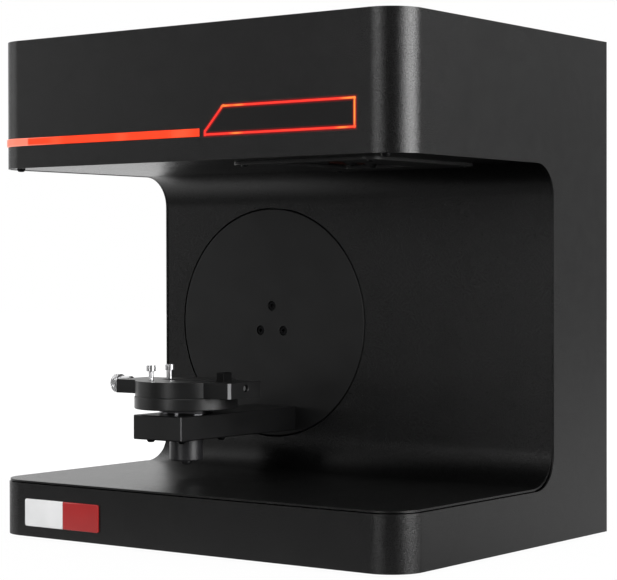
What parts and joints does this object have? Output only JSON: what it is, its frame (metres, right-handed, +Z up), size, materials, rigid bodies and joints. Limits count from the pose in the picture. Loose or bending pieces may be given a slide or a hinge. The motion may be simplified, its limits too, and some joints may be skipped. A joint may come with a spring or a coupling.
{
  "type": "desktop 3d scanner",
  "caption": "C-shaped black desktop scanner: optics in the head look down at a clamp on a motorised turntable, carried by an arm on a tilting disc in the back wall.",
  "frame": {"origin": "on the floor under the middle of the cabinet", "axes": "+X to the viewer's right, +Y from the open front to the rear panel, +Z up"},
  "size_m": [0.401, 0.3039, 0.403],
  "materials": {
    "cabinet_paint": "fine-grained matt black powder coat",
    "liner_paint": "matt black powder coat",
    "foot_rubber": "matt",
    "red_light": "lit diffuser, red",
    "sign_black": "dark window, bare",
    "badge_white": "domed resin, bare",
    "badge_red": "domed resin, bare",
    "black_anodised": "black anodised, fine turned",
    "black_screws": "black oxide",
    "bright_steel": "polished",
    "plain_steel": "zinc plated",
    "motor_black": "satin black",
    "lens_glass": "coated",
    "board_green": "solder mask",
    "chip_black": "moulded",
    "brass_posts": "turned",
    "black_plastic": "moulded",
    "switch_black": "moulded",
    "supply_metal": "plain sheet"
  },
  "bodies": {
    "cabinet": {"outer_wrap": "cabinet_paint", "inner_liner": "liner_paint", "top_cover": "cabinet_paint", "bottom_plate": "cabinet_paint", "rear_panel": "cabinet_paint", "rear_screws": "black_screws", "rubber_feet": "foot_rubber", "light_strip": "red_light", "light_strip_end": "red_light", "sign_frame": "red_light", "sign_plate": "sign_black", "badge_tile_left": "badge_white", "badge_tile_right": "badge_red", "liner_screws": "black_screws", "tilt_bearing_housing": "plain_steel", "housing_screws": "black_screws", "tilt_bearing_outer_races": "bright_steel", "tilt_motor": "motor_black", "motor_screws": "black_screws", "column_frame": "plain_steel", "optics_bezel": "black_plastic", "bezel_screws": "black_screws", "optics_bracket": "black_anodised", "projector_body": "black_anodised", "projector_lens": "black_anodised", "optics_glasses": "lens_glass", "camera_bodies": "black_anodised", "camera_lenses": "black_anodised", "mains_inlet": "black_plastic", "inlet_pins": "bright_steel", "switch_housing": "black_plastic", "data_port": "plain_steel", "control_board": "board_green", "board_standoffs": "brass_posts", "board_components": "chip_black", "power_supply": "supply_metal"},
    "tilt_arm": {"tilt_disc": "black_anodised", "tilt_disc_screws": "black_screws", "arm_bolts": "black_screws", "tilt_shaft": "plain_steel", "tilt_shaft_nut": "plain_steel", "tilt_bearing_inner_races": "bright_steel", "tilt_gear": "plain_steel", "arm_housing": "black_anodised", "arm_cover": "black_anodised", "arm_cover_screws": "black_screws", "table_motor": "motor_black", "table_bearing_outer_races": "bright_steel", "steel_ring": "bright_steel"},
    "tilt_drive": {"tilt_pinion": "brass_posts", "tilt_motor_shaft": "plain_steel"},
    "turntable": {"table_bearing_inner_races": "bright_steel", "turntable_spindle": "plain_steel", "turntable_disc": "black_anodised", "clamp_body": "black_anodised", "clamp_posts": "bright_steel"},
    "clamp_screw": {"clamp_knob": "bright_steel", "clamp_lead_screw": "bright_steel"},
    "clamp_jaw": {"clamp_jaw": "black_anodised"},
    "power_switch": {"switch_rocker": "switch_black"}
  },
  "joints": [
    {"name": "tilt", "type": "hinge", "parent": "cabinet", "child": "tilt_arm", "pos_m": [-0.08, 0.064, 0.172], "axis": [0, 1, 0], "range_deg": [-45, 90]},
    {"name": "tilt_motor_spin", "type": "hinge", "parent": "cabinet", "child": "tilt_drive", "pos_m": [-0.08, 0.08, 0.25075], "axis": [0, 1, 0], "range_deg": [-540, 270]},
    {"name": "turntable_spin", "type": "hinge", "parent": "tilt_arm", "child": "turntable", "pos_m": [-0.08, -0.051, 0.104], "axis": [0, 0, 1], "continuous": true},
    {"name": "clamp_knob_turn", "type": "hinge", "parent": "turntable", "child": "clamp_screw", "pos_m": [-0.14, -0.051, 0.1224], "axis": [1, 0, 0], "range_deg": [0, 20520]},
    {"name": "clamp_jaw_slide", "type": "slide", "parent": "turntable", "child": "clamp_jaw", "axis": [-1, 0, 0], "range_m": [0, 0.057]},
    {"name": "power_switch_rock", "type": "hinge", "parent": "cabinet", "child": "power_switch", "pos_m": [0.115, 0.1477, 0.026], "axis": [1, 0, 0], "range_deg": [0, 16]}
  ],
  "couplings": [
    {"joint": "tilt_motor_spin", "follows": "tilt", "ratio": -6},
    {"joint": "clamp_jaw_slide", "follows": "clamp_knob_turn", "m_per_rad": 0.00015915}
  ]
}
